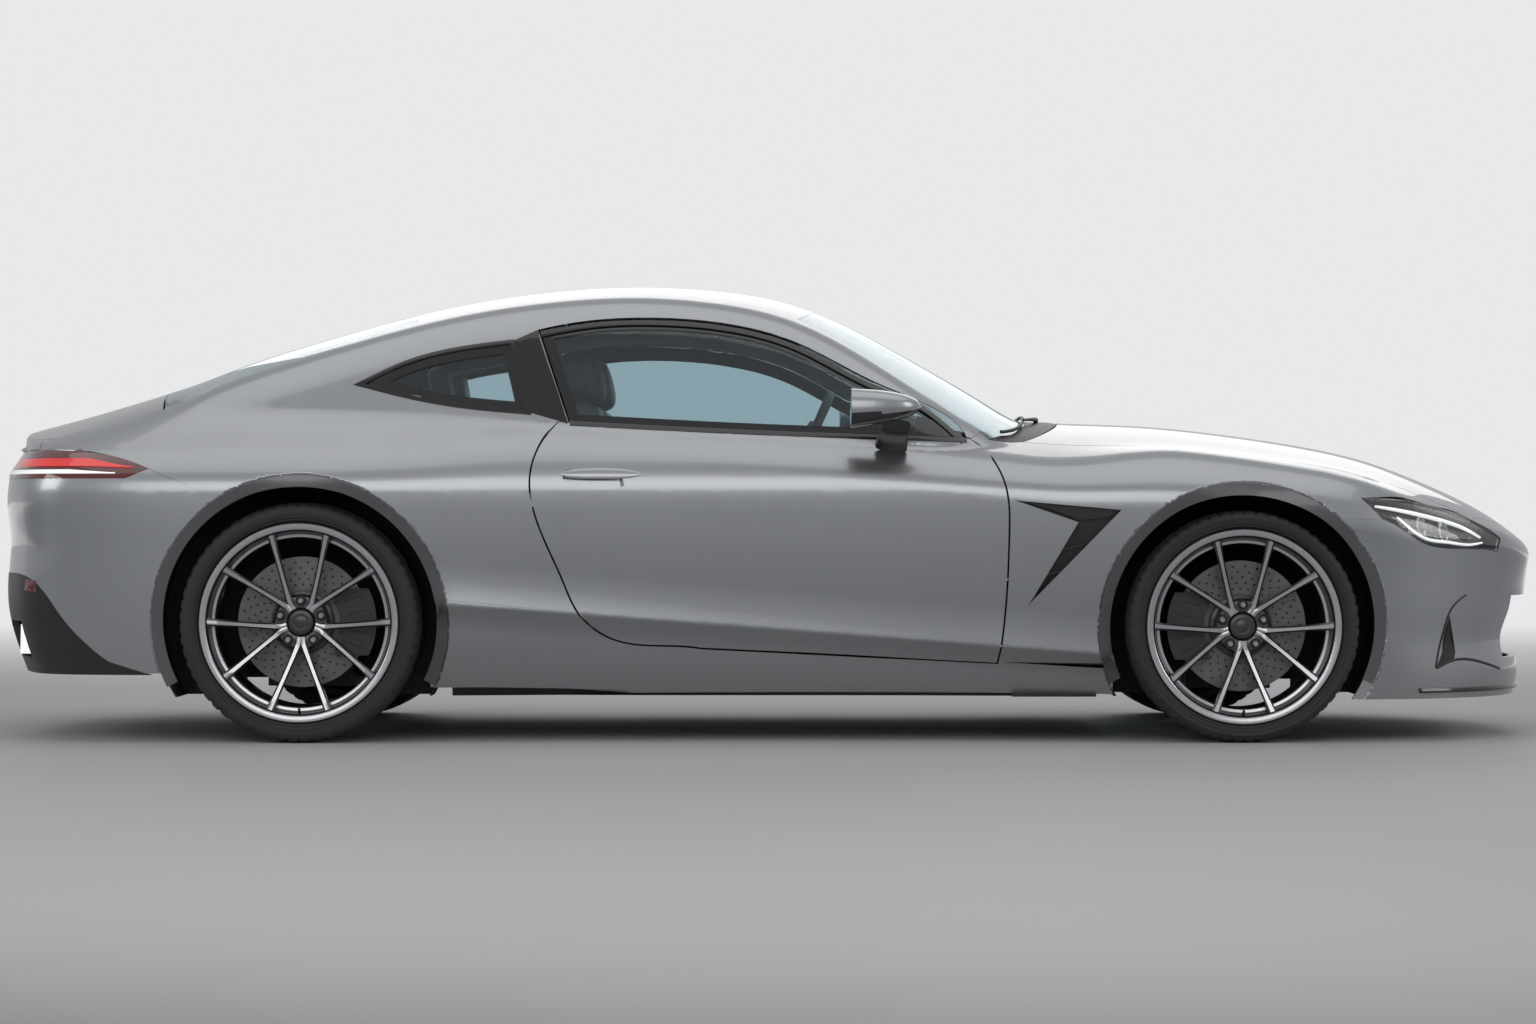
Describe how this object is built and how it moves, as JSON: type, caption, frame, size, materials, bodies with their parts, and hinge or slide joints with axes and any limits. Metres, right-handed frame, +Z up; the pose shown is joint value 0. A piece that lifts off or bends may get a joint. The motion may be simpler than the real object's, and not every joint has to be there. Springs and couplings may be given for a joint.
{
  "type": "coupe car",
  "caption": "Low fastback two-door coupe with long hood, wide rear haunches, opening doors, hood and boot lid, and steered wheels.",
  "frame": {"origin": "on the ground under the middle of the car's box", "axes": "+X towards the nose, +Y to the car's left, +Z up"},
  "size_m": [4.7429, 2.128, 1.3948],
  "materials": {
    "body_paint": "silver metallic under clear lacquer",
    "dark_trim": "satin black",
    "liner_plastic": "matt moulded",
    "tinted_glass": "tinted, polished",
    "clear_lamp": "clear, polished",
    "red_lamp": "clear red lens",
    "bright_steel": "brushed",
    "cabin_trim": "soft grained",
    "wheel_leather": "smooth",
    "seat_leather": "grained with stitched seams",
    "underbody": "coated",
    "frame_metal": "black coated",
    "engine_metal": "cast",
    "tyre_rubber": "matt sidewall",
    "wheel_alloy": "dark grey lacquer with machined rim",
    "disc_iron": "ground faces",
    "caliper_metal": "dark grey"
  },
  "bodies": {
    "root": {"roof": "body_paint", "body_side_right": "body_paint", "body_side_left": "body_paint", "side_skirts": "body_paint", "fender_right": "body_paint", "fender_left": "body_paint", "front_bumper": "body_paint", "rear_bumper": "body_paint", "cowl": "dark_trim", "diffuser": "dark_trim", "grille": "dark_trim", "arch_liners": "liner_plastic", "firewall": "liner_plastic", "parcel_shelf": "liner_plastic", "windscreen": "tinted_glass", "rear_window": "tinted_glass", "quarter_windows": "tinted_glass", "headlamps": "clear_lamp", "tail_lamps": "red_lamp", "exhaust": "bright_steel", "dashboard": "cabin_trim", "front_seats": "seat_leather", "rear_seats": "seat_leather", "floor_pan": "underbody", "front_subframe": "frame_metal", "rear_subframe": "frame_metal", "engine": "engine_metal", "knuckle_rear_right": "caliper_metal", "knuckle_rear_left": "caliper_metal"},
    "hood": {"hood": "body_paint"},
    "boot_lid": {"boot_lid": "body_paint"},
    "steering_wheel": {"steering_wheel": "wheel_leather"},
    "door_right": {"door_right": "body_paint", "door_glass_right": "tinted_glass", "mirror_right": "body_paint"},
    "steer_right": {"knuckle_front_right": "caliper_metal"},
    "wheel_front_right": {"tyre_front_right": "tyre_rubber", "rim_front_right": "wheel_alloy", "disc_front_right": "disc_iron"},
    "wheel_rear_right": {"tyre_rear_right": "tyre_rubber", "rim_rear_right": "wheel_alloy", "disc_rear_right": "disc_iron"},
    "door_left": {"door_left": "body_paint", "door_glass_left": "tinted_glass", "mirror_left": "body_paint"},
    "steer_left": {"knuckle_front_left": "caliper_metal"},
    "wheel_front_left": {"tyre_front_left": "tyre_rubber", "rim_front_left": "wheel_alloy", "disc_front_left": "disc_iron"},
    "wheel_rear_left": {"tyre_rear_left": "tyre_rubber", "rim_rear_left": "wheel_alloy", "disc_rear_left": "disc_iron"}
  },
  "joints": [
    {"name": "hood_hinge", "type": "hinge", "parent": "root", "child": "hood", "pos_m": [0.735, 0, 0.965], "axis": [0, -1, 0], "range_deg": [0, 50]},
    {"name": "boot_hinge", "type": "hinge", "parent": "root", "child": "boot_lid", "pos_m": [-1.84, 0, 1.06], "axis": [0, 1, 0], "range_deg": [0, 60]},
    {"name": "door_right_hinge", "type": "hinge", "parent": "root", "child": "door_right", "pos_m": [0.645, -0.945, 0.6], "axis": [0, 0, 1], "range_deg": [0, 65]},
    {"name": "door_left_hinge", "type": "hinge", "parent": "root", "child": "door_left", "pos_m": [0.645, 0.945, 0.6], "axis": [0, 0, -1], "range_deg": [0, 65]},
    {"name": "steer_right_kingpin", "type": "hinge", "parent": "root", "child": "steer_right", "pos_m": [1.4, -0.72, 0.344], "axis": [0, 0, 1], "range_deg": [-30, 30]},
    {"name": "steer_left_kingpin", "type": "hinge", "parent": "root", "child": "steer_left", "pos_m": [1.4, 0.72, 0.344], "axis": [0, 0, 1], "range_deg": [-30, 30]},
    {"name": "steering_column", "type": "hinge", "parent": "root", "child": "steering_wheel", "pos_m": [0.126, 0.375, 0.915], "axis": [-0.9135, 0, 0.4067], "range_deg": [-400, 400]},
    {"name": "spin_front_right", "type": "hinge", "parent": "steer_right", "child": "wheel_front_right", "pos_m": [1.4, -0.808, 0.344], "axis": [0, 1, 0], "continuous": true},
    {"name": "spin_rear_right", "type": "hinge", "parent": "root", "child": "wheel_rear_right", "pos_m": [-1.4, -0.804, 0.356], "axis": [0, 1, 0], "continuous": true},
    {"name": "spin_front_left", "type": "hinge", "parent": "steer_left", "child": "wheel_front_left", "pos_m": [1.4, 0.808, 0.344], "axis": [0, 1, 0], "continuous": true},
    {"name": "spin_rear_left", "type": "hinge", "parent": "root", "child": "wheel_rear_left", "pos_m": [-1.4, 0.804, 0.356], "axis": [0, 1, 0], "continuous": true}
  ],
  "couplings": [
    {"joint": "steer_left_kingpin", "follows": "steer_right_kingpin", "ratio": 1},
    {"joint": "steering_column", "follows": "steer_right_kingpin", "ratio": 13}
  ]
}
